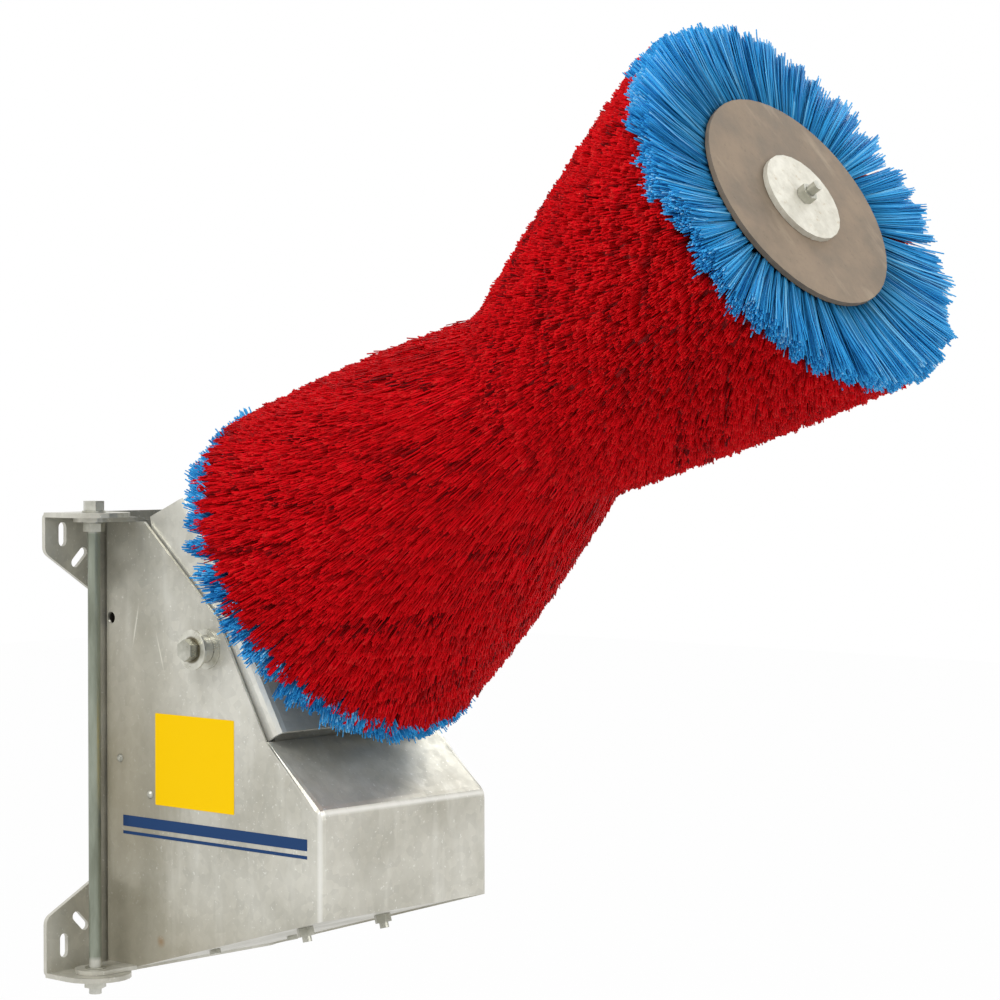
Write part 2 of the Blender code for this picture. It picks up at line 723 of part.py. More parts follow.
def make_gland(swing):
    """The cable gland through the far panel, pointing outwards."""
    spot = (BACK_X + GLAND_SETBACK, HOUSING_W / 2, PANEL_FOOT_Z + GLAND_RISE)
    place = Matrix.Translation(spot) @ ALONG_MINUS_Y
    inner = GLAND_BORE_D / 2
    collar = GLAND_NUT_AF / 2
    profile = [
        (inner, SHELL_T + GLAND_NUT_H),
        (GLAND_D / 2, SHELL_T + GLAND_NUT_H),
        (GLAND_D / 2, -GAP),
        (collar, -GAP),
        (collar, -GLAND_NUT_H),
        (GLAND_D / 2, -GLAND_NUT_H),
        (inner + GLAND_LIP, -GLAND_L),
        (inner, -GLAND_L),
    ]
    turned("cable_gland", profile, "dark_plastic", swing, place, closed=True)
    nut_place = place @ Matrix.Translation((0, 0, SHELL_T + GAP))
    nut("gland_lock_nut", GLAND_D, LOCK_NUT_AF, GLAND_NUT_H - GAP, "dark_plastic", swing, nut_place)


def make_control_box(swing):
    """The start control, screwed to the inside of the left panel."""
    wall = -HOUSING_W / 2 + SHELL_T + GAP
    one = (BACK_X + SCREW_ONE_SETBACK, PANEL_TOP_Z - SCREW_ONE_DROP)
    two = (BACK_X + SCREW_TWO_SETBACK, PANEL_TOP_Z - SCREW_TWO_DROP)
    middle_x, middle_z = (one[0] + two[0]) / 2, (one[1] + two[1]) / 2
    half_l, half_h = CONTROL_L / 2, CONTROL_H / 2
    box = rectangle(middle_x - half_l, middle_z - half_h, middle_x + half_l, middle_z + half_h)
    place = Matrix.Translation((0, wall + CONTROL_W / 2, 0)) @ ALONG_MINUS_Y
    base_mesh = baked_flat("control_box", [box], CONTROL_W)
    base = add_object("control_box", base_mesh, "light_plastic", swing, place)
    round_edges(base, CONTROL_EDGE)
    depth = (wall - OVERRUN, wall + SCREW_GRIP)
    for label, (x, z) in (("one", one), ("two", two)):
        seat = Matrix.Translation((x, 0, z))
        cross_hole(base, "box_hole_" + label, SCREW_D + 2 * GAP, swing, seat, *depth)
    lid_y = wall + CONTROL_W + GAP + CONTROL_LID_T / 2
    lid_place = Matrix.Translation((0, lid_y, 0)) @ ALONG_MINUS_Y
    lid_mesh = baked_flat("control_box_lid", [box], CONTROL_LID_T)
    cover = add_object("control_box_lid", lid_mesh, "light_plastic", swing, lid_place)
    round_edges(cover, CONTROL_LID_T / 4)
    reach = SHELL_T + SCREW_GRIP - 2 * GAP
    head_r = SCREW_HEAD_D / 2
    crown = [(head_r * across, SCREW_HEAD_H * up) for across, up in SCREW_CROWN_SHARES]
    for label, (x, z) in (("upper", one), ("lower", two)):
        profile = [
            *crown,
            (head_r, GAP),
            (SCREW_D / 2, GAP),
            (SCREW_D / 2, -reach),
            (0, -reach),
        ]
        seat = Matrix.Translation((x, -HOUSING_W / 2, z)) @ ALONG_MINUS_Y
        turned("panel_screw_" + label, profile, "zinc", swing, seat, count=12)


def make_stop(swing):
    """The bar behind the cradle's foot and the two rubber buffers that it rests on."""
    front = MOUTH_AHEAD - SHELL_T - GAP
    low = -MOUTH_BELOW - STOP_BAR_DOWN
    high = -MOUTH_BELOW + STOP_BAR_UP
    tab = -MOUTH_BELOW + STOP_TAB_UP
    end = STOP_BAR_W / 2
    out, inside = BUFFER_SPREAD + STOP_TAB_W / 2, BUFFER_SPREAD - STOP_TAB_W / 2
    half = [(end, low), (end, high), (out, high), (out, tab), (inside, tab), (inside, high)]
    outline = half + [(-u, v) for u, v in reversed(half)]
    place = TILT @ Matrix.Translation((front - STOP_BAR_T / 2, 0, 0)) @ ALONG_X
    flat_piece("stop_bar", [outline], STOP_BAR_T, "galvanised", swing, place)
    length = PAN_BACK - front - 2 * GAP
    for label, side in (("left", -1), ("right", 1)):
        centre = circle(side * BUFFER_SPREAD, -MOUTH_BELOW + BUFFER_ABOVE, BUFFER_D / 2)
        seat = TILT @ Matrix.Translation((front + GAP + length / 2, 0, 0)) @ ALONG_X
        flat_piece("stop_buffer_" + label, [centre], length, "rubber", swing, seat)


def make_pivots(swing, tilt):
    """On each side a bolt with its outer washer, spacer, inner washer and nut, and the cradle's bush."""
    bush_r = PIVOT_BOLT_D / 2 + GAP + PIVOT_BUSH_WALL
    for label, side in (("left", -1), ("right", 1)):
        turn = ALONG_MINUS_Y if side < 0 else ALONG_PLUS_Y
        axis = Matrix.Translation((PIVOT_X, 0, PIVOT_Z)) @ turn
        face = HOUSING_W / 2 + GAP
        stack = (
            ("washer", PIVOT_WASHER_D, PIVOT_WASHER_T, "zinc"),
            ("spacer", PIVOT_SPACER_D, PIVOT_SPACER_L, "galvanised"),
            ("cap_washer", PIVOT_WASHER_D, PIVOT_WASHER_T, "zinc"),
        )
        for piece, outer_d, thickness, finish in stack:
            seat = axis @ Matrix.Translation((0, 0, face))
            washer(f"pivot_{piece}_{label}", PIVOT_BOLT_D, outer_d, thickness, finish, swing, seat)
            face += thickness + GAP
        inner = CHEEK_IN - GAP - NUT_H
        shank = face - inner + PIVOT_TAIL
        head_seat = axis @ Matrix.Translation((0, 0, face))
        bolt(f"pivot_bolt_{label}", HEAD_AF, HEAD_H, PIVOT_BOLT_D, shank, "zinc", swing, head_seat)
        nut_seat = axis @ Matrix.Translation((0, 0, inner))
        flange_nut(f"pivot_nut_{label}", PIVOT_BOLT_D, HEAD_AF, NUT_H, "zinc", swing, nut_seat)
        length = HOUSING_W / 2 - SHELL_T - GAP - CHEEK_IN
        loops = [circle(0, 0, bush_r), circle(0, 0, PIVOT_BOLT_D / 2 + GAP)]
        bush_seat = axis @ Matrix.Translation((0, 0, CHEEK_IN + length / 2))
        flat_piece(f"pivot_bush_{label}", loops, length, "dark_plastic", tilt, bush_seat)


# The cradle with its gear unit and motor


def cheek_outline():
    return [
        (PAN_AHEAD, -PAN_BELOW),
        (PAN_AHEAD, PAN_ABOVE),
        (-CHEEK_TOP_BEHIND, PAN_ABOVE + CHEEK_PEAK_RISE),
        (-CHEEK_BEHIND, CHEEK_UPPER_Z),
        (-CHEEK_BEHIND, -CHEEK_LOWER_Z),
        (CHEEK_FOOT_AHEAD, -PAN_BELOW),
    ]


def gear_bolt_places():
    high = AXIS_RISE + GEARBOX_R - 2 * GEAR_BOLT_D
    low = MOTOR_Z - GEARBOX_R + 2 * GEAR_BOLT_D
    inset = GEAR_BOLT_SPREAD / 2
    return [(-inset, high), (inset, high), (-inset, low), (inset, low)]


def make_cradle(tilt):
    open_edges = (1, 2, 3, 4, 5)
    size = (2 * CHEEK_OUT, PAN_T, PAN_FOLD_R)
    pan = folded_shell("cradle_pan", cheek_outline(), open_edges, *size, "galvanised", tilt, TILT)
    bush_d = PIVOT_BOLT_D + 2 * (2 * GAP + PIVOT_BUSH_WALL)
    cross_hole(pan, "bush_hole_cutter", bush_d, tilt, TILT, -HOUSING_W / 2, HOUSING_W / 2)
    bolt_r = GEAR_BOLT_D / 2 + GAP
    hole_r = SHAFT_D / 2 + SHAFT_CLEARANCE
    shaft_hole = rod_mesh("shaft_hole_cutter", hole_r, PAN_BACK - OVERRUN, PAN_AHEAD + OVERRUN)
    boolean(pan, add_helper("shaft_hole_cutter", shaft_hole, tilt, SPIN @ ALONG_X), "DIFFERENCE")
    places = gear_bolt_places()
    for k, (y, z) in enumerate(places):
        mesh = rod_mesh(f"gear_hole_{k + 1}", bolt_r, PAN_BACK - OVERRUN, PAN_AHEAD + OVERRUN, 12)
        hole = add_helper(f"gear_hole_{k + 1}", mesh, tilt, TILT @ Matrix.Translation((0, y, z)) @ ALONG_X)
        boolean(pan, hole, "DIFFERENCE")
        seat = TILT @ Matrix.Translation((PAN_AHEAD + GAP, y, z)) @ ALONG_X
        size = (GEAR_BOLT_AF, GEAR_BOLT_HEAD, GEAR_BOLT_D, PAN_T + GAP + GEAR_BOLT_GRIP)
        bolt(f"gear_bolt_{k + 1}", *size, "zinc", tilt, seat, count=12)
    make_gearbox(tilt, places, bolt_r)


def make_gearbox(tilt, places, bolt_r):
    middle = (AXIS_RISE + MOTOR_Z) / 2
    body = long_slot(0, middle, MOTOR_BELOW + 2 * GEARBOX_R, 2 * GEARBOX_R, math.pi / 2, 12)
    holes = [circle(0, AXIS_RISE, SHAFT_D / 2 + GAP)]
    holes += [circle(y, z, bolt_r, 12) for y, z in places]
    place = TILT @ Matrix.Translation((GEAR_FRONT - GEARBOX_T / 2, 0, 0)) @ ALONG_X
    flat_piece("gearbox", [body] + holes, GEARBOX_T, "cast", tilt, place)
    seal = [circle(0, 0, SEAL_R), circle(0, 0, SHAFT_D / 2 + GAP)]
    front = SPIN @ Matrix.Translation((PAN_AHEAD + GAP + SEAL_T / 2, 0, 0)) @ ALONG_X
    flat_piece("shaft_seal", seal, SEAL_T, "rubber", tilt, front)


def finned_outline():
    points = []
    for k in range(FIN_COUNT):
        for turn_share, fin_share in FIN_SHARES:
            a = 2 * math.pi * (k + turn_share) / FIN_COUNT
            radius = MOTOR_R + FIN_H * fin_share
            points.append((radius * math.cos(a), MOTOR_Z + radius * math.sin(a)))
    return points


def make_motor(tilt):
    back = GEAR_BACK - GAP
    place = TILT @ Matrix.Translation((back - MOTOR_L / 2, 0, 0)) @ ALONG_X
    flat_piece("motor_body", [finned_outline()], MOTOR_L, "motor_grey", tilt, place)
    cowl = [
        (0, 0),
        (COWL_R, 0),
        (COWL_R, -COWL_L + COWL_EDGE),
        (COWL_R - COWL_EDGE, -COWL_L),
        (0, -COWL_L),
    ]
    cowl_place = TILT @ Matrix.Translation((back - MOTOR_L - GAP, 0, MOTOR_Z)) @ ALONG_X
    turned("motor_cowl", cowl, "motor_grey", tilt, cowl_place)
    x1 = back - TERMINAL_SETBACK
    side = MOTOR_R + FIN_H + GAP
    low = (x1 - TERMINAL_L, side, MOTOR_Z - TERMINAL_W / 2)
    high = (x1, side + TERMINAL_H, MOTOR_Z + TERMINAL_W / 2)
    box = add_object("terminal_box", block_mesh("terminal_box", low, high), "motor_grey", tilt, TILT)
    round_edges(box, TERMINAL_EDGE)


def make_tilt_switch(tilt):
    """The sealed switch on the back of the pan that starts the motor when the brush is lifted."""
    z0 = AXIS_RISE + GEARBOX_R + SWITCH_ABOVE - SWITCH_H
    low = (PAN_BACK - GAP - SWITCH_T, -SWITCH_L / 2, z0)
    high = (PAN_BACK - GAP, SWITCH_L / 2, z0 + SWITCH_H)
    switch = add_object("tilt_switch", block_mesh("tilt_switch", low, high), "dark_plastic", tilt, TILT)
    round_edges(switch, SWITCH_EDGE)


# The brush


def brush_ring(name, inner, outer, x0, thickness, finish, spin, count=BRUSH_SIDES):
    loops = [circle(0, 0, outer, count), circle(0, 0, inner)]
    place = SPIN @ Matrix.Translation((x0 + thickness / 2, 0, 0)) @ ALONG_X
    return flat_piece(name, loops, thickness, finish, spin, place)


def make_brush(spin):
    along = SPIN @ ALONG_X
    bore = SHAFT_D / 2 + GAP
    start, end = BRUSH_START, BRUSH_END
    flange_back = start - GAP - DRIVE_FLANGE_T
    hub_back = PAN_AHEAD + GAP + SEAL_T + 2 * GAP
    drive = [
        (bore, start - GAP),
        (DRIVE_FLANGE_R, start - GAP),
        (DRIVE_FLANGE_R, flange_back),
        (DRIVE_HUB_R, flange_back),
        (DRIVE_HUB_R, hub_back),
        (bore, hub_back),
    ]
    turned("drive_flange", drive, "cast", spin, along, closed=True)
    brush_ring("brush_disc_lower", bore, END_DISC_R, start, END_DISC_T, "disc_board", spin)
    brush_ring("brush_disc_upper", bore, END_DISC_R, end - END_DISC_T, END_DISC_T, "disc_board", spin)
    hub_x = end + GAP
    brush_ring("hub_plate", STUD_D / 2 + GAP, HUB_PLATE_R, hub_x, HUB_PLATE_T, "zinc", spin, SIDES)
    nut_x = hub_x + HUB_PLATE_T + GAP
    nut_place = SPIN @ Matrix.Translation((nut_x, 0, 0)) @ ALONG_X
    nut("stud_nut", STUD_D, STUD_NUT_AF, STUD_NUT_H, "zinc", spin, nut_place)
    tip = nut_x + STUD_NUT_H + STUD_TAIL
    shaft = [
        (0, tip),
        (STUD_D / 2, tip),
        (STUD_D / 2, end),
        (SHAFT_D / 2, end),
        (SHAFT_D / 2, GEAR_BACK),
        (0, GEAR_BACK),
    ]
    turned("brush_shaft", shaft, "zinc", spin, along)
    inside, outside = start + END_DISC_T + GAP, end - END_DISC_T - GAP
    core = ring_profile(CORE_R - CORE_WALL, CORE_R, inside, outside)
    turned("core_tube", core, "light_plastic", spin, along, closed=True)
    make_bristles(spin, along, inside, outside)


def make_bristles(spin, along, inside, outside):
    """The red hourglass between two blue end rings, as plain solids round the core tube."""
    root = CORE_R + GAP
    lower = ring_profile(root, BRUSH_END_R, inside, inside + BLUE_L)
    turned("bristles_blue_lower", lower, "blue_bristle", spin, along, BRUSH_SIDES, closed=True)
    upper = ring_profile(root, BRUSH_END_R, outside - BLUE_L, outside)
    turned("bristles_blue_upper", upper, "blue_bristle", spin, along, BRUSH_SIDES, closed=True)
    red0, red1 = inside + BLUE_L + GAP, outside - BLUE_L - GAP
    waist = BRUSH_START + BRUSH_L * WAIST_SHARE
    rise = (BRUSH_END_R - WAIST_R) * WAIST_ROUND / (red1 - waist)
    profile = [
        (root, red1),
        (BRUSH_END_R, red1),
        (WAIST_R + rise, waist + WAIST_ROUND),
        (WAIST_R, waist),
        (WAIST_R + rise, waist - WAIST_ROUND),
        (BRUSH_END_R, red0),
        (root, red0),
    ]
    turned("bristles_red", profile, "red_bristle", spin, along, BRUSH_SIDES, closed=True)


def main():
    swing = axis_empty("swing_axis", None, SWING)
    tilt = axis_empty("tilt_axis", swing, TILT)
    spin = axis_empty("spin_axis", tilt, SPIN)
    make_bracket()
    make_hinge()
    make_lugs(swing)
    make_housing(swing)
    make_bottom(swing)
    make_gland(swing)
    make_control_box(swing)
    make_stop(swing)
    make_pivots(swing, tilt)
    make_cradle(tilt)
    make_motor(tilt)
    make_tilt_switch(tilt)
    make_brush(spin)


main()
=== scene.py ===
import json
import math

import bmesh
import bpy
import numpy as np
from mathutils import Matrix, Vector


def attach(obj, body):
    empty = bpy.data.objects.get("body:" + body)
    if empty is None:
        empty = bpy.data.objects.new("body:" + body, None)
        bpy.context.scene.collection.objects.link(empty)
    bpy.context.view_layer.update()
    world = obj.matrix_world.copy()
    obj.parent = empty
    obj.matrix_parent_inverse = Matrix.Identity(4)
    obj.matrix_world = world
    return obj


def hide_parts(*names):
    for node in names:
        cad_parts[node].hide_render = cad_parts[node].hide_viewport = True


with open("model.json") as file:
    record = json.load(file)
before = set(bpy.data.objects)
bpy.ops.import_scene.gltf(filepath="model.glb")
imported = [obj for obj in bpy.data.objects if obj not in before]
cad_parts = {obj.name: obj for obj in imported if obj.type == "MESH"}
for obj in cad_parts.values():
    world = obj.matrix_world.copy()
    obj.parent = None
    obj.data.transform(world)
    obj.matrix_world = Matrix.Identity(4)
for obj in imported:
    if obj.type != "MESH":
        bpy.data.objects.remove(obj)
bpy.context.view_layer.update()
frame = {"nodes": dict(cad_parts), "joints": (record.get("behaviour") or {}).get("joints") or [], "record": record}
NODES = frame["nodes"]
JOINTS = {joint["name"]: joint for joint in frame["joints"]}

# Camera, as the photograph was taken
CAMERA_PLACE = (2.867, -2.5335, 0.3955)
CAMERA_YAW = math.radians(47.696)
CAMERA_DIP = math.radians(1.347)
CAMERA_LENS = 103.5
CAMERA_SENSOR = 36

# Lamps as name, place, target, size and power
LAMPS = (
    ("key", (0.2, -2.6, 2.9), (0.45, 0, 0.3), 1.6, 70),
    ("fill", (3.2, 0.6, 1.3), (0.4, 0, 0.1), 2.0, 30),
    ("back", (0.5, 2.4, 2.3), (0.4, 0, 0), 1.2, 17),
)
SOFT_LIGHT = 0.72
FLOOR_Z = -1.15
FLOOR_HALF = 14
FLOOR_TONE = 0.92
FLOOR_WHITE = 0.97

# The brush, measured along its axis from the spin joint
AXIS = Vector(JOINTS["brush_spin"]["axis"]).normalized()
HUB = Vector(JOINTS["brush_spin"]["pos_m"])
LOWER_END = 0.108
UPPER_END = 0.9505
WAIST = 0.525
WAIST_R = 0.129
END_R = 0.235
LOWER_BULGE = 0.008
UPPER_BULGE = 0.004
UPPER_BLUE_W = 0.019
LOWER_BLUE_W = 0.034
DISC_T = 0.006

# Red strands in tufts; darker streaks, the darkest being painted shade between tufts; a fringe over the lower blue
# ring
RING_PITCH = 0.0027
ROW_PITCH = 0.0026
RED_REACH = 0.050
RED_ROOT_R = 0.072
RED_WIDTH = 0.00105
RED_PIECES = 7
RED_SEED = 20
STRAND_JITTER = 0.0012
TUFT_SIZE = 0.0085
TUFT_KEYS = (131, 7919)
STREAK_WIDTH = 0.0035
STREAK_LENGTH = 0.10
STREAK_KEY = 4013
FRINGE_BREADTH = 0.05
FRINGE_REACH = 0.032
# Lean of the strands: everywhere, more near the waist, and how far below and above it that spreads
LEAN_PLAIN = 0.28
LEAN_WAIST = 0.65
LEAN_CENTRE = WAIST - 0.03
LEAN_BELOW = 0.30
LEAN_ABOVE = 0.15

# Blue strands, in two staggered circles of tufts at each end
BLUE_TUFTS = 84
TUFT_STRANDS = 120
BLUE_ROOT_R = (0.118, 0.126)
BLUE_WIDTH = 0.0011
# Each end as label, station, open side, breadth, unevenness, tone and seed; the lower end's darker tone is painted
# shade
BLUE_ENDS = (
    ("lower", LOWER_END, -1, LOWER_BLUE_W, 0.012, 0.38, 31),
    ("upper", UPPER_END, 1, UPPER_BLUE_W, 0.006, 0.5, 32),
)

# The dense beds under the strands
BED_DEPTH = 0.013
BED_ROOT_R = 0.0565
BLUE_BED_R = 0.150
BED_INSET = 0.006
BED_GAP = 0.001

# Marks on the housing sheet, in metres
PANEL_Y = -0.1485
RUST_SPOTS = (
    ((0.118, PANEL_Y, -0.247), 0.009, 0.8),
    ((0.409, 0.09, -0.10), 0.0035, 0.5),
    ((0.409, 0.02, -0.09), 0.003, 0.4),
)
# Soft-edged darker patches on the side panel, as centre, size and strength
DARK_PATCHES = (
    ((0.03, PANEL_Y, -0.05), (0.16, 0.2, 0.30), 0.75),
    ((0.14, PANEL_Y, -0.27), (0.24, 0.2, 0.11), 0.55),
)
# Painted shade: the sheet inside the housing, seen through the open hole near the hinge, is painted dark brown
PAINTED_HOLE_SHADE = ((0.013, -0.128, 0.157), (0.012, 0.0195, 0.03))
# Painted highlights: near-white lines along the housing's folds, standing in for the shine of the bent edges
FOLD_HIGHLIGHTS = (
    ((0.4035, -0.146, -0.124), (0.0045, 0.0045, 0.4)),
    ((0.4035, 0.146, -0.124), (0.0045, 0.0045, 0.4)),
    ((0.404, 0, -0.0605), (0.005, 0.9, 0.005)),
)
SCRATCHES = (
    ((0.071, PANEL_Y, 0.150), (0.0016, 0.01, 0.032), 0.22),
    ((0.118, PANEL_Y, 0.118), (0.0014, 0.01, 0.028), -0.30),
)
# Radius of the painted shade on the pivot washers round the bolt
PIVOT_SHADE_R = 0.0185
ROD_HALF = 0.2735

# Films on the housing panel that faces the camera; a stripe has its top and its height
LABEL_BOX = (0.1085, -0.0745, 0.255, 0.0415)
STRIPE_X = (0.046, 0.384)
STRIPES = ((-0.0925, 0.014), (-0.1125, 0.004))


def srgb(r, g, b):
    """A colour of the 0 to 255 scale as the linear values that a shader takes."""
    made = []
    for value in (r, g, b):
        c = value / 255
        made.append(c / 12.92 if c <= 0.04045 else ((c + 0.055) / 1.055) ** 2.4)
    return (*made, 1)


class Finish:
    """A material with one shader, and short calls for the nodes that feed it."""

    def __init__(self, name, roughness=0.5, metallic=0.0, specular=0.5):
        self.material = bpy.data.materials.new(name)
        self.material.use_nodes = True
        self.tree = self.material.node_tree
        self.shader = self.tree.nodes["Principled BSDF"]
        self.shader.inputs["Roughness"].default_value = roughness
        self.shader.inputs["Metallic"].default_value = metallic
        self.shader.inputs["Specular IOR Level"].default_value = specular
        self.place = self.tree.nodes.new("ShaderNodeTexCoord").outputs["Object"]

    def node(self, kind, **values):
        made = self.tree.nodes.new("ShaderNode" + kind)
        for key, value in values.items():
            setattr(made, key, value)
        return made

    def link(self, output, target):
        if isinstance(target, str):
            target = self.shader.inputs[target]
        self.tree.links.new(output, target)

    def stretched(self, scale, centre=(0, 0, 0), turn=(0, 0, 0)):
        made = self.node("Mapping", vector_type="TEXTURE")
        made.inputs["Location"].default_value = centre
        made.inputs["Rotation"].default_value = turn
        made.inputs["Scale"].default_value = scale
        self.link(self.place, made.inputs["Vector"])
        return made.outputs["Vector"]

    def noise(self, scale, detail=3.0, roughness=0.5, vector=None):
        made = self.node("TexNoise")
        made.inputs["Scale"].default_value = scale
        made.inputs["Detail"].default_value = detail
        made.inputs["Roughness"].default_value = roughness
        self.link(vector or self.place, made.inputs["Vector"])
        return made.outputs["Fac"]

    def cells(self, scale):
        made = self.node("TexVoronoi")
        made.inputs["Scale"].default_value = scale
        self.link(self.place, made.inputs["Vector"])
        return made.outputs["Color"]

    def ramp(self, value, low, high, start=0.0, end=1.0):
        made = self.node("MapRange")
        made.clamp = True
        for key, number in (("From Min", low), ("From Max", high), ("To Min", start), ("To Max", end)):
            made.inputs[key].default_value = number
        self.link(value, made.inputs["Value"])
        return made.outputs["Result"]

    def combined(self, a, b, operation="MULTIPLY"):
        made = self.node("Math", operation=operation)
        for value, target in ((a, made.inputs[0]), (b, made.inputs[1])):
            if isinstance(value, (int, float)):
                target.default_value = value
            else:
                self.link(value, target)
        return made.outputs["Value"]

    def mix(self, share, a, b, blend="MIX"):
        made = self.node("Mix", data_type="RGBA", blend_type=blend)
        inputs = [made.inputs[0], made.inputs[6], made.inputs[7]]
        for value, target in zip((share, a, b), inputs):
            if isinstance(value, (int, float, tuple)):
                target.default_value = value
            else:
                self.link(value, target)
        return made.outputs[2]

    def bump(self, height, depth, strength=1.0, before=None):
        made = self.node("Bump")
        made.inputs["Distance"].default_value = depth
        made.inputs["Strength"].default_value = strength
        self.link(height, made.inputs["Height"])
        if before:
            self.link(before, made.inputs["Normal"])
        return made.outputs["Normal"]

    def spot(self, centre, radius, soft=0.5):
        """1 inside a round spot of the surface near this point, and 0 outside."""
        made = self.node("VectorMath", operation="DISTANCE")
        self.link(self.place, made.inputs[0])
        made.inputs[1].default_value = centre
        return self.ramp(made.outputs["Value"], radius * (1 - soft), radius, 1.0, 0.0)

    def streak(self, centre, size, turn=0.0, soft=0.6):
        """1 along the middle of a long mark of this size, turned about Y, and 0 outside."""
        made = self.node("VectorMath", operation="LENGTH")
        self.link(self.stretched(size, centre, (0, turn, 0)), made.inputs[0])
        return self.ramp(made.outputs["Value"], 1 - soft, 1.0, 1.0, 0.0)

    def value(self, name):
        made = self.node("Attribute", attribute_name=name)
        return made.outputs["Fac"]

    def grey(self, value):
        made = self.node("CombineColor")
        for target in made.inputs[:3]:
            self.link(value, target)
        return made.outputs[0]


def housing_marks(made, colour):
    """Rust, darker patches, painted highlights on the folds and scratches on the sheet, and painted shade behind
    the open hole.
    """
    for centre, radius, strength in RUST_SPOTS:
        rust = made.combined(made.spot(centre, radius, 0.9), strength)
        colour = made.mix(rust, colour, srgb(166, 112, 52))
    for centre, size, strength in DARK_PATCHES:
        darker_patch = made.combined(made.streak(centre, size, soft=0.9), strength)
        colour = made.mix(darker_patch, colour, srgb(150, 141, 116))
    # Painted shade behind the open hole
    colour = made.mix(made.streak(*PAINTED_HOLE_SHADE, soft=0.2), colour, srgb(40, 32, 26))
    # Painted highlights along the folds
    for centre, size in FOLD_HIGHLIGHTS:
        fold_highlight = made.combined(made.streak(centre, size, soft=0.8), 0.6)
        colour = made.mix(fold_highlight, colour, srgb(244, 244, 238))
    for centre, size, turn in SCRATCHES:
        scratch = made.combined(made.streak(centre, size, turn), 0.55)
        colour = made.mix(scratch, colour, srgb(236, 234, 222))
    return colour


def galvanised(name="galvanised_sheet", light=(212, 210, 199), dark=(170, 167, 153), marks=False):
    """Hot-dip zinc: soft clouds, faint crystals, run marks and a few stains."""
    made = Finish(name, metallic=0.55)
    clouds = made.noise(5.5, 5, 0.6)
    colour = made.mix(made.ramp(clouds, 0.32, 0.66), srgb(*dark), srgb(*light))
    crystals = made.node("SeparateColor")
    made.link(made.cells(95), crystals.inputs[0])
    facet = crystals.outputs[0]
    colour = made.mix(made.ramp(facet, 0, 1, 0.0, 0.16), colour, srgb(120, 122, 118))
    runs = made.noise(1.0, 4, 0.6, made.stretched((0.03, 0.03, 0.22)))
    colour = made.mix(made.ramp(runs, 0.52, 0.72, 0, 0.35), colour, srgb(224, 223, 214))
    grime = made.noise(2.6, 6, 0.65, made.stretched((1, 1, 2.2), (0.3, 0.1, 0.2)))
    colour = made.mix(made.ramp(grime, 0.55, 0.75, 0, 0.45), colour, srgb(158, 152, 130))
    specks = made.noise(240, 2, 0.5)
    colour = made.mix(made.ramp(specks, 0.66, 0.74, 0, 0.5), colour, srgb(238, 238, 232))
    if marks:
        colour = housing_marks(made, colour)
    made.link(colour, "Base Color")
    rough = made.ramp(made.noise(14, 4, 0.6), 0.3, 0.7, 0.33, 0.47)
    rough = made.combined(rough, made.ramp(facet, 0, 1, -0.03, 0.03), "ADD")
    made.link(rough, "Roughness")
    waves = made.bump(made.noise(9, 2, 0.5), 0.004, 0.25)
    grain = made.bump(made.noise(150, 4, 0.6), 0.0006, 0.35, waves)
    made.link(grain, "Normal")
    return made.material


def pivot_zinc():
    """A washer's pale rim, with a ring of painted shade round the bolt head."""
    made = Finish("pivot_zinc", metallic=0.7)
    clouds = made.noise(60, 4, 0.6)
    colour = made.mix(made.ramp(clouds, 0.3, 0.7), srgb(186, 184, 170), srgb(222, 221, 210))
    # Painted shade: the washer is darkened within this radius of the pivot bolt, where the head's shadow falls
    near = made.streak(JOINTS["tilt"]["pos_m"], (PIVOT_SHADE_R, 0.6, PIVOT_SHADE_R), soft=0.12)
    shade_ring = made.mix(clouds, srgb(84, 78, 60), srgb(124, 118, 98))
    made.link(made.mix(near, colour, shade_ring), "Base Color")
    made.link(made.ramp(clouds, 0.3, 0.7, 0.22, 0.4), "Roughness")
    made.link(made.bump(made.noise(300, 3), 0.0003, 0.3), "Normal")
    return made.material


def zinc_plate():
    made = Finish("zinc_plate", metallic=0.85)
    clouds = made.noise(40, 4, 0.6)
    colour = made.mix(made.ramp(clouds, 0.3, 0.7), srgb(150, 149, 136), srgb(208, 207, 196))
    stains = made.noise(90, 5, 0.7)
    colour = made.mix(made.ramp(stains, 0.62, 0.72, 0, 0.5), colour, srgb(150, 128, 92))
    made.link(colour, "Base Color")
    made.link(made.ramp(clouds, 0.3, 0.7, 0.26, 0.42), "Roughness")
    made.link(made.bump(made.noise(300, 3), 0.0003, 0.3), "Normal")
    return made.material


def rod_zinc():
    """The hinge bolt: bright at its ends, and dulled to grey-green along the rod between the lugs."""
    made = Finish("rod_zinc", metallic=0.6)
    clouds = made.noise(40, 4, 0.6)
    colour = made.mix(made.ramp(clouds, 0.3, 0.7), srgb(170, 170, 160), srgb(214, 213, 204))
    along = made.noise(1, 4, 0.6, made.stretched((0.02, 0.02, 0.12)))
    dull = made.mix(made.ramp(along, 0.35, 0.65), srgb(116, 121, 106), srgb(150, 156, 142))
    middle = made.streak(JOINTS["swing"]["pos_m"], (0.1, 0.1, ROD_HALF), soft=0.02)
    made.link(made.mix(middle, colour, dull), "Base Color")
    made.link(made.ramp(clouds, 0.3, 0.7, 0.32, 0.48), "Roughness")
    made.link(made.bump(made.noise(300, 3), 0.0003, 0.3), "Normal")
    return made.material


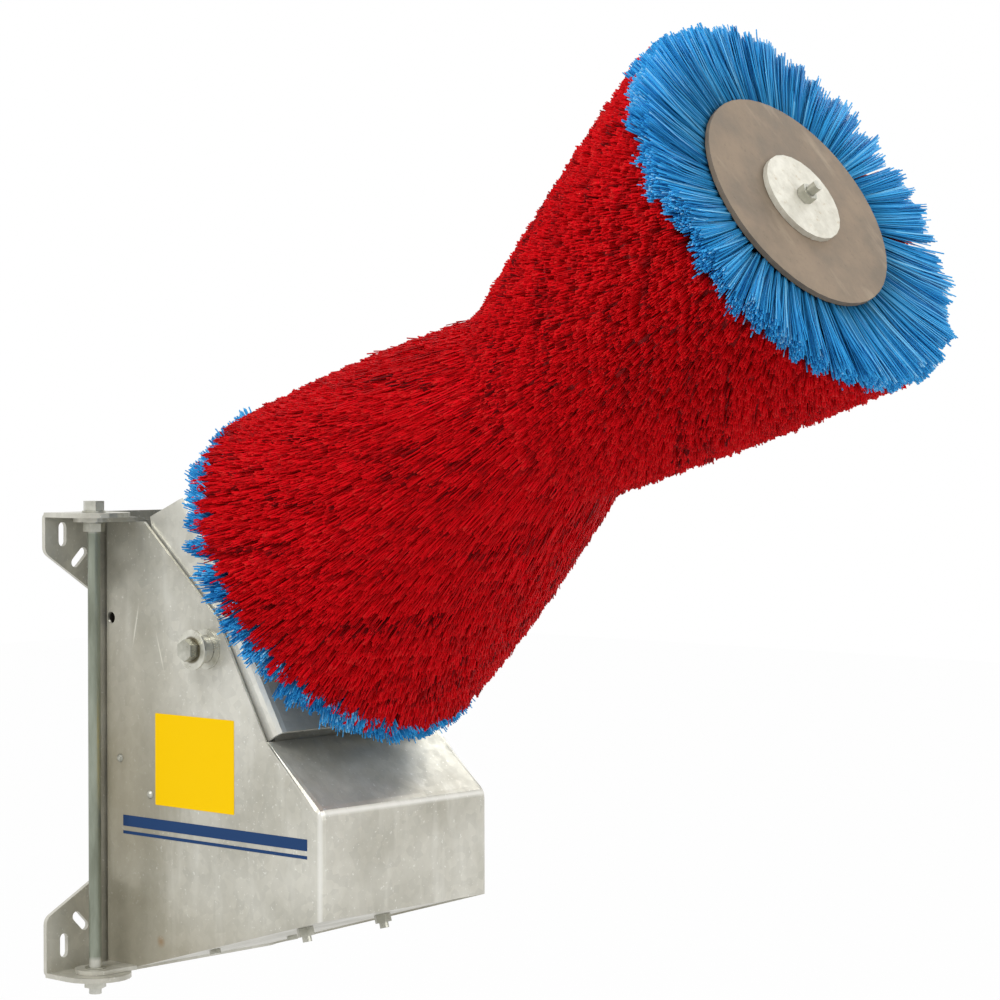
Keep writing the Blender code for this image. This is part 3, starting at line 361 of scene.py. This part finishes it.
def hub_zinc():
    """The bright end plate, chalky with small rust marks."""
    made = Finish("hub_zinc", metallic=0.25)
    clouds = made.noise(45, 5, 0.65)
    colour = made.mix(made.ramp(clouds, 0.35, 0.65), srgb(190, 186, 172), srgb(214, 211, 198))
    marks = made.noise(130, 5, 0.7)
    colour = made.mix(made.ramp(marks, 0.6, 0.7, 0, 0.55), colour, srgb(171, 146, 104))
    made.link(colour, "Base Color")
    made.link(made.ramp(marks, 0.4, 0.7, 0.38, 0.6), "Roughness")
    made.link(made.bump(made.noise(220, 4), 0.0005, 0.4), "Normal")
    return made.material


def end_board():
    """The worn grey-brown end disc, with smears and dust."""
    made = Finish("end_board", roughness=0.7)
    clouds = made.noise(16, 6, 0.62)
    colour = made.mix(made.ramp(clouds, 0.3, 0.68), srgb(104, 91, 75), srgb(140, 123, 104))
    smear = made.noise(1, 4, 0.6, made.stretched((0.10, 0.025, 0.05), (0.9, 0, 0.6), (0.4, 0.5, 0.3)))
    colour = made.mix(made.ramp(smear, 0.56, 0.74, 0, 0.5), colour, srgb(166, 150, 128))
    dust = made.noise(150, 4, 0.7)
    colour = made.mix(made.ramp(dust, 0.6, 0.72, 0, 0.35), colour, srgb(92, 78, 62))
    made.link(colour, "Base Color")
    made.link(made.ramp(clouds, 0.3, 0.7, 0.55, 0.8), "Roughness")
    made.link(made.bump(made.noise(120, 5, 0.6), 0.0006, 0.4), "Normal")
    return made.material


def grey_casting():
    made = Finish("grey_casting", metallic=0.3)
    clouds = made.noise(30, 5, 0.6)
    colour = made.mix(made.ramp(clouds, 0.3, 0.7), srgb(98, 102, 104), srgb(136, 140, 140))
    made.link(colour, "Base Color")
    made.link(made.ramp(clouds, 0.3, 0.7, 0.45, 0.65), "Roughness")
    made.link(made.bump(made.noise(420, 3), 0.0006, 0.5), "Normal")
    return made.material


def machine_paint():
    made = Finish("machine_paint")
    clouds = made.noise(22, 4, 0.6)
    colour = made.mix(made.ramp(clouds, 0.3, 0.7), srgb(76, 86, 92), srgb(102, 112, 118))
    made.link(colour, "Base Color")
    made.link(made.ramp(clouds, 0.3, 0.7, 0.34, 0.5), "Roughness")
    made.link(made.bump(made.noise(260, 3), 0.0003, 0.4), "Normal")
    return made.material


def moulded(name, dark, light, roughness=0.42):
    made = Finish(name)
    clouds = made.noise(35, 4, 0.6)
    colour = made.mix(made.ramp(clouds, 0.3, 0.7), srgb(*dark), srgb(*light))
    made.link(colour, "Base Color")
    made.link(made.ramp(clouds, 0.3, 0.7, roughness - 0.06, roughness + 0.08), "Roughness")
    made.link(made.bump(made.noise(700, 2), 0.0002, 0.4), "Normal")
    return made.material


def bristle_finish(name, deep, middle, bright, tip):
    """Nylon: each strand has its own tone, with painted shade darkening it towards its root."""
    made = Finish(name, specular=0.06)
    tone = made.value("tone")
    along = made.value("along")
    colour = made.mix(made.ramp(tone, 0.0, 0.6), srgb(*deep), srgb(*middle))
    colour = made.mix(made.ramp(tone, 0.6, 1.0), colour, srgb(*bright))
    worn = made.combined(made.ramp(along, 0.93, 1.0), made.ramp(tone, 0.72, 0.8, 0, 0.4))
    colour = made.mix(worn, colour, srgb(*tip))
    # Painted shade: the colour is multiplied darker towards the root
    shade = made.ramp(along, 0.3, 0.85, 0.68, 1.0)
    colour = made.mix(1.0, colour, made.grey(shade), "MULTIPLY")
    made.link(colour, "Base Color")
    made.link(made.ramp(tone, 0, 1, 0.5, 0.62), "Roughness")
    return made.material


def painted(name, colour, worn, scale=60):
    """A plain film with fine wear."""
    made = Finish(name, specular=0.06)
    wear = made.noise(scale, 5, 0.7)
    worn_share = made.ramp(wear, 0.66, 0.78, 0, 0.55)
    made.link(made.mix(worn_share, srgb(*colour), srgb(*worn)), "Base Color")
    made.link(made.ramp(made.noise(25, 3), 0.3, 0.7, 0.32, 0.46), "Roughness")
    made.link(made.bump(made.noise(180, 3), 0.0002, 0.3), "Normal")
    return made.material


FINISHES = {
    "galvanised": galvanised(),
    "zinc": zinc_plate(),
    "cast": grey_casting(),
    "motor_grey": machine_paint(),
    "dark_plastic": moulded("black_plastic", (22, 22, 24), (38, 38, 40)),
    "light_plastic": moulded("grey_plastic", (176, 178, 178), (196, 198, 198)),
    "rubber": moulded("buffer_rubber", (20, 20, 20), (36, 36, 36), 0.7),
    "disc_board": end_board(),
    "red_bristle": bristle_finish("red_nylon", (98, 3, 8), (212, 6, 16), (238, 8, 30), (178, 60, 44)),
    "blue_bristle": bristle_finish(
        "blue_nylon", (26, 112, 180), (58, 168, 232), (122, 200, 244), (160, 200, 230)
    ),
}

for part in frame["record"]["subparts"]:
    node = NODES[part["node"]]
    node.data.materials.clear()
    node.data.materials.append(FINISHES[part["material_slot"]])

OWN_FINISHES = {
    "housing_shell": galvanised("housing_sheet", marks=True),
    # Painted light: the cradle's sheet is a lighter copy of the galvanised finish, brightened to make up for the
    # shade it gets under the brush
    "cradle_pan": galvanised("cradle_sheet", light=(230, 228, 218), dark=(196, 194, 182)),
    "hub_plate": hub_zinc(),
    "hinge_bolt": rod_zinc(),
}
PIVOT = pivot_zinc()
for side in ("left", "right"):
    OWN_FINISHES["pivot_washer_" + side] = PIVOT
    OWN_FINISHES["pivot_cap_washer_" + side] = PIVOT
for name, finish in OWN_FINISHES.items():
    NODES[name].data.materials.clear()
    NODES[name].data.materials.append(finish)


def add_piece(name, bm, finish, body, smooth=True):
    bmesh.ops.recalc_face_normals(bm, faces=bm.faces)
    mesh = bpy.data.meshes.new(name)
    bm.to_mesh(mesh)
    bm.free()
    mesh.materials.append(finish)
    if smooth:
        mesh.shade_smooth()
    made = bpy.data.objects.new(name, mesh)
    bpy.context.scene.collection.objects.link(made)
    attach(made, body)
    return made


# Bristles


def strand(joint):
    """One tapered bristle of unit length and half width, with a joint at its middle where it bends."""
    bm = bmesh.new()
    lift = Matrix.Translation((0, 0, 0.5))
    bmesh.ops.create_cone(bm, cap_ends=True, segments=3, radius1=1, radius2=0.8, depth=1, matrix=lift)
    if joint:
        cut = bm.verts[:] + bm.edges[:] + bm.faces[:]
        bmesh.ops.bisect_plane(bm, geom=cut, plane_co=(0, 0, 0.55), plane_no=(0, 0, 1))
    mesh = bpy.data.meshes.new("strand")
    bm.to_mesh(mesh)
    bm.free()
    return mesh


def grown(name, template, columns, finish):
    """A piece of many strands: one array of the strand, then each copy is set on its root."""
    roots, ways, lengths, widths, bends, tones = columns
    holder = bpy.data.objects.new(name, template)
    bpy.context.scene.collection.objects.link(holder)
    array = holder.modifiers.new("copies", "ARRAY")
    array.count = len(roots)
    array.use_relative_offset = False
    graph = bpy.context.evaluated_depsgraph_get()
    mesh = bpy.data.meshes.new_from_object(holder.evaluated_get(graph))
    bpy.data.objects.remove(holder)
    mesh.name = name
    each = len(template.vertices)
    flat = np.empty(len(mesh.vertices) * 3)
    mesh.vertices.foreach_get("co", flat)
    local = flat.reshape(len(roots), each, 3)
    side = np.cross(ways, np.array(AXIS) + 0.01)
    side /= np.linalg.norm(side, axis=1, keepdims=True)
    other = np.cross(ways, side)
    along = local[:, :, 2:3]
    reach = lengths[:, None, None]
    points = roots[:, None, :] + ways[:, None, :] * along * reach
    points += bends[:, None, :] * along**2 * reach
    points += side[:, None, :] * local[:, :, 0:1] * widths[:, None, None]
    points += other[:, None, :] * local[:, :, 1:2] * widths[:, None, None]
    mesh.vertices.foreach_set("co", points.reshape(-1))
    for label, values in (("tone", np.repeat(tones, each)), ("along", along.reshape(-1))):
        layer = mesh.attributes.new(label, "FLOAT", "POINT")
        layer.data.foreach_set("value", values.astype(np.float32))
    mesh.materials.clear()
    mesh.materials.append(finish)
    mesh.shade_smooth()
    mesh.update()
    made = bpy.data.objects.new(name, mesh)
    bpy.context.scene.collection.objects.link(made)
    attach(made, "brush")
    return made


AXIS_ROW = np.array(AXIS)
ACROSS_ROW = np.array((0.0, 1.0, 0.0))
UP_ROW = np.cross(AXIS_ROW, ACROSS_ROW)


def outward(turn):
    """Unit vectors square to the brush axis."""
    return np.cos(turn)[:, None] * ACROSS_ROW + np.sin(turn)[:, None] * UP_ROW


def hourglass(station):
    """The radius of the brush along its axis."""
    slope = np.abs(station - WAIST) / np.where(station > WAIST, UPPER_END - WAIST, WAIST - LOWER_END)
    bulge = np.where(station > WAIST, UPPER_BULGE, LOWER_BULGE) * np.sin(math.pi * slope)
    return WAIST_R + (END_R - WAIST_R) * slope + bulge


def lean(station):
    """How far a red strand leans towards the lower end, for each metre that it reaches outwards."""
    spread = np.where(station > LEAN_CENTRE, LEAN_ABOVE, LEAN_BELOW)
    near_waist = np.exp(-(((station - LEAN_CENTRE) / spread) ** 2))
    return LEAN_PLAIN + LEAN_WAIST * near_waist


def between(roots, tips):
    """Root points, directions and lengths of strands, from their ends' stations, turns and radii."""
    ends = []
    for station, turn, radius in (roots, tips):
        ends.append(np.array(HUB) + AXIS_ROW * station[:, None] + outward(turn) * radius[:, None])
    root, tip = ends
    span = tip - root
    length = np.linalg.norm(span, axis=1)
    return root, span / length[:, None], length


def red_strands():
    rng = np.random.default_rng(RED_SEED)
    stations, turns = [], []
    start, end = LOWER_END + LOWER_BLUE_W, UPPER_END - UPPER_BLUE_W
    rows = int((end - start) / RING_PITCH)
    for row in range(rows):
        station = start + (row + 0.5) * (end - start) / rows
        count = int(2 * math.pi * float(hourglass(np.array(station))) / ROW_PITCH)
        turns.append(2 * math.pi * (np.arange(count) + rng.uniform(0, 1)) / count)
        stations.append(np.full(count, station))
    station, turn = np.concatenate(stations), np.concatenate(turns)
    count = len(station)
    radius = hourglass(station)
    station = station + rng.normal(0, STRAND_JITTER, count)
    turn = turn + rng.normal(0, STRAND_JITTER, count) / radius
    # Tufts: strands of one cell draw together and share a length
    column = np.floor(turn * radius / TUFT_SIZE + rng.uniform(0, 0.6, count))
    band = np.floor(station / TUFT_SIZE + rng.uniform(0, 0.6, count))
    cell = (column * TUFT_KEYS[0] + band * TUFT_KEYS[1]).astype(np.int64)
    names, member = np.unique(cell, return_inverse=True)
    size = np.bincount(member)
    mean_station = np.bincount(member, station) / size
    mean_turn = np.bincount(member, turn) / size
    pull = rng.uniform(0.25, 0.75, len(names))[member]
    tip_station = station + (mean_station[member] - station) * pull
    tip_turn = turn + (mean_turn[member] - turn) * pull
    fringe = np.exp(-(((station - LOWER_END) / FRINGE_BREADTH) ** 2))
    tuft_way = rng.normal(0, 0.003, len(names))[member]
    tuft_way = tuft_way - fringe * rng.uniform(0, FRINGE_REACH, len(names))[member]
    tuft_side = rng.normal(0, 0.0025, len(names))[member]
    tip_station = tip_station + tuft_way + rng.normal(0, STRAND_JITTER, count)
    tip_turn = tip_turn + (tuft_side + rng.normal(0, STRAND_JITTER, count)) / radius
    tip_r = hourglass(np.clip(tip_station, LOWER_END + 0.004, UPPER_END - 0.004))
    tip_r = tip_r + rng.normal(0, 0.0013, len(names))[member] + rng.normal(0, 0.0011, count)
    tip_r = np.minimum(tip_r, END_R + 0.002)
    root_r = np.maximum(tip_r - RED_REACH, RED_ROOT_R)
    lay = lean(tip_station) * (1 + 1.8 * rng.uniform(0, 1, count) ** 2) + 0.7 * fringe
    root_station = np.minimum(tip_station + lay * (tip_r - root_r), end)
    root_turn = tip_turn + rng.normal(0, 0.008, count)
    root, way, length = between((root_station, root_turn, root_r), (tip_station, tip_turn, tip_r))
    bend = np.zeros_like(way)
    # Tones: one for each strand, tuft and streak, and a few streaks much darker as painted shade between tufts
    streak_column = np.floor(turn * radius / STREAK_WIDTH + rng.uniform(0, 0.3, count))
    streak_band = np.floor(station / STREAK_LENGTH + 0.37 * streak_column)
    streak = (streak_column * STREAK_KEY + streak_band).astype(np.int64)
    streaks, group = np.unique(streak, return_inverse=True)
    tone = rng.normal(0.56, 0.07, count) + rng.normal(0, 0.08, len(names))[member]
    tone = tone + rng.normal(0, 0.11, len(streaks))[group]
    tone = np.clip(tone - 0.42 * (rng.uniform(0, 1, len(streaks)) < 0.07)[group], 0, 1)
    width = RED_WIDTH * rng.uniform(0.8, 1.25, count)
    return station, (root, way, length, width, bend, tone)


def add_red_bristles():
    station, columns = red_strands()
    edges = np.quantile(station, np.linspace(0, 1, RED_PIECES + 1))
    edges[-1] += 1
    template = strand(joint=False)
    for k in range(RED_PIECES):
        chosen = (station >= edges[k]) & (station < edges[k + 1])
        picked = [column[chosen] for column in columns]
        name = f"red_strands_{k + 1}"
        made = grown(name, template, picked, FINISHES["red_bristle"])
        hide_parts("bristles_red")


def ring_body(name, profile, finish, node, count=64):
    """A closed body turned about the brush axis from (station, radius) corners."""
    bm = bmesh.new()
    corners = [bm.verts.new(HUB + AXIS * s + Vector(UP_ROW) * r) for s, r in profile]
    loop = [bm.edges.new((a, b)) for a, b in zip(corners, corners[1:] + corners[:1])]
    bmesh.ops.spin(
        bm, geom=corners + loop, cent=HUB, axis=AXIS, angle=2 * math.pi, steps=count, use_merge=True
    )
    made = add_piece(name, bm, finish, "brush")
    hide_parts(node)
    return made


def add_beds():
    """The dense mass of strands under the tips, as closed bodies."""
    start, end = LOWER_END + DISC_T + BED_GAP, UPPER_END - DISC_T - BED_GAP
    red0, red1 = start + LOWER_BLUE_W, end - UPPER_BLUE_W
    root, outer = BED_ROOT_R, BLUE_BED_R
    profile = [(red0, root), (red1, root)]
    stations = (red1, (red1 + WAIST) / 2, WAIST, (red0 + WAIST) / 2, red0)
    profile += [(s, float(hourglass(np.array(s))) - BED_DEPTH) for s in stations]
    ring_body("red_bed", profile, DEEP_RED, "bristles_red")
    rings = (
        ("lower", start + BED_INSET, red0 - 2 * BED_GAP),
        ("upper", red1 + 2 * BED_GAP, end - BED_INSET),
    )
    for label, low, high in rings:
        profile = [(low, root), (high, root), (high, outer), (low, outer)]
        ring_body("blue_bed_" + label, profile, DEEP_BLUE, "bristles_blue_" + label)


def bed_finish(name, dark, light):
    made = Finish(name, roughness=0.8)
    clumps = made.noise(140, 4, 0.7)
    made.link(made.mix(made.ramp(clumps, 0.35, 0.65), srgb(*dark), srgb(*light)), "Base Color")
    made.link(made.bump(made.noise(300, 3), 0.002, 0.8), "Normal")
    return made.material


DEEP_RED = bed_finish("red_roots", (128, 4, 9), (170, 6, 13))
DEEP_BLUE = bed_finish("blue_roots", (24, 92, 150), (44, 130, 190))


def blue_strands(end, sign, breadth, uneven, shade, seed):
    """Strands that fan out from two circles of holes under an end disc; sign points to the open end."""
    rng = np.random.default_rng(seed)
    tufts, each = BLUE_TUFTS, TUFT_STRANDS
    count = tufts * each
    hole = np.repeat(np.arange(tufts), each)
    turn = 2 * math.pi * (hole + 0.5) / tufts
    fan = rng.normal(0, 1, count)
    lag = rng.normal(0, 0.020, tufts)[hole]
    row = rng.integers(0, 2, count)
    depth = (row + rng.uniform(0.0, 1.0, count)) / 2
    turn = turn + row * math.pi / tufts
    root_station = end - sign * (DISC_T + 0.002 + 0.5 * breadth * depth)
    tip_station = end - sign * (0.001 + 0.9 * breadth * depth) + rng.normal(0, 0.0022, count)
    tip_station = tip_station + sign * rng.normal(0, 0.003, tufts)[hole]
    root_r = rng.uniform(*BLUE_ROOT_R, count)
    stray = rng.uniform(0, 1, count) > 0.99
    tip_r = END_R - 0.002 - np.abs(rng.normal(0, uneven, count)) + rng.normal(0, 0.003, tufts)[hole]
    tip_r = tip_r + stray * rng.uniform(0.002, 0.25 * breadth, count)
    tip_r = np.minimum(tip_r, END_R + 0.010)
    root_turn = turn + fan * 0.010
    tip_turn = turn + fan * 0.017 + lag + stray * rng.normal(0, 0.05, count)
    root, way, length = between((root_station, root_turn, root_r), (tip_station, tip_turn, tip_r))
    bend = AXIS_ROW * sign * rng.normal(0.01, 0.03, count)[:, None]
    tone = np.clip(rng.normal(shade, 0.2, count) + rng.normal(0, 0.1, tufts)[hole], 0, 1)
    width = BLUE_WIDTH * rng.uniform(0.75, 1.2, count)
    return root, way, length, width, bend, tone


def add_blue_bristles():
    template = strand(joint=True)
    finish = FINISHES["blue_bristle"]
    for label, *values in BLUE_ENDS:
        columns = blue_strands(*values)
        made = grown("blue_strands_" + label, template, columns, finish)
        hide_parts("bristles_blue_" + label)


# Plate and stripes on the panel


def panel_plate(name, x0, z0, x1, z1, finish, corner=0.0015, thickness=0.0004, steps=3):
    """A thin film on the camera-side panel."""
    bm = bmesh.new()
    width, height = x1 - x0, z1 - z0
    place = Matrix.Translation(((x0 + x1) / 2, PANEL_Y - thickness / 2, (z0 + z1) / 2))
    bmesh.ops.create_cube(bm, size=1, matrix=place @ Matrix.Diagonal((width, thickness, height, 1)))
    upright = [e for e in bm.edges if abs((e.verts[0].co - e.verts[1].co).y) > thickness / 2]
    bmesh.ops.bevel(
        bm, geom=upright, offset=corner, segments=steps, profile=0.5, affect="EDGES", material=-1
    )
    return add_piece(name, bm, finish, "housing", smooth=False)


def add_films():
    """A bare yellow plate, and a broad and a thin stripe."""
    yellow = painted("yellow_film", (241, 196, 0), (222, 180, 36))
    blue = painted("blue_film", (36, 64, 106), (150, 156, 158), 45)
    x0, z0, x1, z1 = LABEL_BOX
    panel_plate("label_plate", x0, z0, x1, z1, yellow)
    for k, (top, height) in enumerate(STRIPES):
        x0, x1 = STRIPE_X
        panel_plate(f"stripe_{k + 1}", x0, top - height, x1, top, blue, 0.0005)


# Camera, light and floor


def add_camera():
    data = bpy.data.cameras.new("camera")
    data.lens = CAMERA_LENS
    data.sensor_width = CAMERA_SENSOR
    made = bpy.data.objects.new("camera", data)
    flat = math.cos(CAMERA_DIP)
    way = Vector((-flat * math.cos(CAMERA_YAW), flat * math.sin(CAMERA_YAW), -math.sin(CAMERA_DIP)))
    made.location = CAMERA_PLACE
    made.rotation_euler = way.to_track_quat("-Z", "Y").to_euler()
    bpy.context.scene.collection.objects.link(made)
    bpy.context.scene.camera = made


def add_lamp(name, place, target, size, power):
    data = bpy.data.lights.new(name, "AREA")
    data.shape = "DISK"
    data.size = size
    data.energy = power
    made = bpy.data.objects.new(name, data)
    made.location = place
    made.rotation_euler = (Vector(target) - Vector(place)).to_track_quat("-Z", "Y").to_euler()
    bpy.context.scene.collection.objects.link(made)


def white_share(tree, share):
    """The plain white that camera, mirror and see-through rays see, and that lights nothing."""
    path = tree.nodes.new("ShaderNodeLightPath")
    total = path.outputs["Is Camera Ray"]
    for label in ("Is Glossy Ray", "Is Transmission Ray"):
        both = tree.nodes.new("ShaderNodeMath")
        both.operation = "MAXIMUM"
        tree.links.new(total, both.inputs[0])
        tree.links.new(path.outputs[label], both.inputs[1])
        total = both.outputs[0]
    scaled = tree.nodes.new("ShaderNodeMath")
    scaled.operation = "MULTIPLY"
    scaled.inputs[1].default_value = share
    tree.links.new(total, scaled.inputs[0])
    return scaled.outputs[0]


def add_studio():
    world = bpy.data.worlds.new("studio")
    bpy.context.scene.world = world
    world.use_nodes = True
    tree = world.node_tree
    light = tree.nodes["Background"]
    light.inputs["Color"].default_value = (1, 1, 1, 1)
    light.inputs["Strength"].default_value = SOFT_LIGHT
    white = tree.nodes.new("ShaderNodeBackground")
    white.inputs["Color"].default_value = (1, 1, 1, 1)
    white.inputs["Strength"].default_value = 1.0
    mix = tree.nodes.new("ShaderNodeMixShader")
    tree.links.new(white_share(tree, 1.0), mix.inputs[0])
    tree.links.new(light.outputs[0], mix.inputs[1])
    tree.links.new(white.outputs[0], mix.inputs[2])
    tree.links.new(mix.outputs[0], tree.nodes["World Output"].inputs["Surface"])
    for name, place, target, size, power in LAMPS:
        add_lamp(name, place, target, size, power)


def add_floor():
    bm = bmesh.new()
    place = Matrix.Translation((0, 0, FLOOR_Z))
    bmesh.ops.create_grid(bm, x_segments=1, y_segments=1, size=FLOOR_HALF, matrix=place)
    mesh = bpy.data.meshes.new("floor")
    bm.to_mesh(mesh)
    bm.free()
    pale = bpy.data.materials.new("pale_floor")
    pale.use_nodes = True
    tree = pale.node_tree
    shader = tree.nodes["Principled BSDF"]
    shader.inputs["Base Color"].default_value = (FLOOR_TONE, FLOOR_TONE, FLOOR_TONE, 1)
    shader.inputs["Roughness"].default_value = 0.9
    glow = tree.nodes.new("ShaderNodeEmission")
    glow.inputs["Color"].default_value = (1, 1, 1, 1)
    glow.inputs["Strength"].default_value = 1.0
    mix = tree.nodes.new("ShaderNodeMixShader")
    tree.links.new(white_share(tree, FLOOR_WHITE), mix.inputs[0])
    tree.links.new(shader.outputs[0], mix.inputs[1])
    tree.links.new(glow.outputs[0], mix.inputs[2])
    tree.links.new(mix.outputs[0], tree.nodes["Material Output"].inputs["Surface"])
    mesh.materials.append(pale)
    made = bpy.data.objects.new("floor", mesh)
    bpy.context.scene.collection.objects.link(made)


add_camera()
add_studio()
add_floor()
add_beds()
add_red_bristles()
add_blue_bristles()
add_films()

bpy.context.scene.view_settings.view_transform = "Standard"
